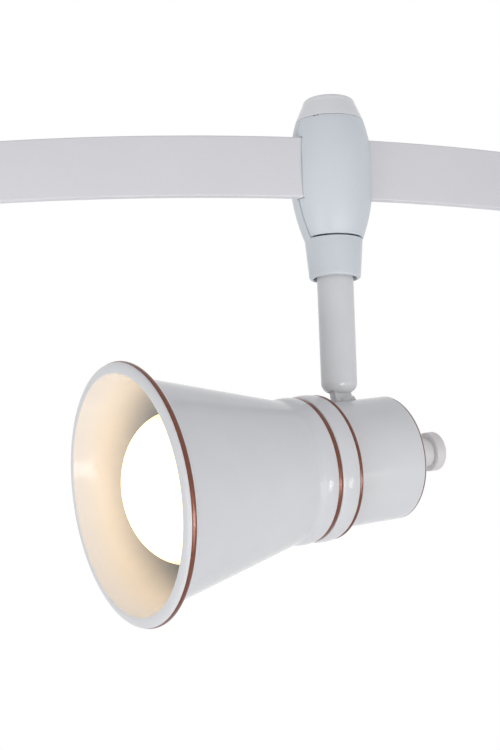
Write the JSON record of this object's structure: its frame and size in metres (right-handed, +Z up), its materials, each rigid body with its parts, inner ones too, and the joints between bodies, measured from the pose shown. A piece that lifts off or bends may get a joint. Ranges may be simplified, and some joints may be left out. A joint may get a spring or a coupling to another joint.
{
  "type": "track spotlight",
  "caption": "Spotlight with a flared round shade and copper trim rings, tilting and turning on a stem under a barrel adapter that runs along a curved flat rail.",
  "frame": {"origin": "the middle of the rail's section, straight in front of the stem's axis", "axes": "+X along the rail at the adapter, -Y towards the adapter's front cover, +Z up along the stem"},
  "size_m": [0.228, 0.109, 0.2243],
  "materials": {
    "white_enamel": "satin",
    "cool_white_plastic": "satin",
    "rail_plastic": "satin",
    "knob_plastic": "satin",
    "copper_enamel": "gloss",
    "copper": "satin",
    "brass": "satin",
    "nickel": "satin",
    "zinc_steel": "satin",
    "black_thermoset": "matte",
    "porcelain": "gloss",
    "frosted_glass": "matte"
  },
  "bodies": {
    "rail": {"rail_band": "rail_plastic", "rail_conductor_lower": "copper", "rail_conductor_upper": "copper"},
    "adapter": {"adapter_body": "cool_white_plastic", "adapter_top_cap": "white_enamel", "cap_screw": "zinc_steel", "contact_carrier": "black_thermoset", "contact_blade_lower": "copper", "contact_blade_upper": "copper"},
    "front_cover": {"adapter_front_cover": "cool_white_plastic"},
    "stem": {"stem_tube": "white_enamel", "stem_bush": "zinc_steel", "stem_retainer": "zinc_steel", "pivot_pin": "zinc_steel"},
    "head": {"swivel_tongue": "white_enamel", "tongue_washer": "zinc_steel", "tongue_nut": "zinc_steel", "lamp_housing": "white_enamel", "rear_trim_ring": "copper_enamel", "front_trim_ring": "copper_enamel", "back_trim_ring": "copper_enamel", "collar_ring": "white_enamel", "shade": "white_enamel", "rim_trim_ring": "copper_enamel", "shade_screw_1": "zinc_steel", "shade_screw_2": "zinc_steel", "shade_screw_3": "zinc_steel", "lamp_glass": "frosted_glass", "lamp_cap": "nickel", "lamp_tip": "nickel", "lampholder": "porcelain", "holder_screw_shell": "brass", "holder_contact": "brass", "holder_bracket": "zinc_steel", "holder_rivet": "zinc_steel", "back_cover": "white_enamel", "back_screw_left": "zinc_steel", "back_screw_right": "zinc_steel", "switch_body": "black_thermoset", "switch_sleeve": "knob_plastic"},
    "knob": {"switch_knob": "knob_plastic", "knob_spindle": "zinc_steel"}
  },
  "joints": [
    {"name": "rail_travel", "type": "hinge", "parent": "rail", "child": "adapter", "pos_m": [0, 0.413, 0], "axis": [0, 0, 1], "range_deg": [-17, 8]},
    {"name": "cover_release", "type": "slide", "parent": "adapter", "child": "front_cover", "axis": [0, -1, 0], "range_m": [0, 0.03]},
    {"name": "stem_pan", "type": "hinge", "parent": "adapter", "child": "stem", "pos_m": [0, 0.0061, -0.03795], "axis": [0, 0, 1], "range_deg": [-175, 175]},
    {"name": "head_tilt", "type": "hinge", "parent": "stem", "child": "head", "pos_m": [0, 0.0061, -0.08715], "axis": [0.2681, -0.9634, 0], "range_deg": [-7.75, 82.25]},
    {"name": "knob_turn", "type": "hinge", "parent": "head", "child": "knob", "pos_m": [0.00507, 0.00751, -0.12579], "axis": [-0.9546, -0.2656, -0.1349], "continuous": true}
  ]
}
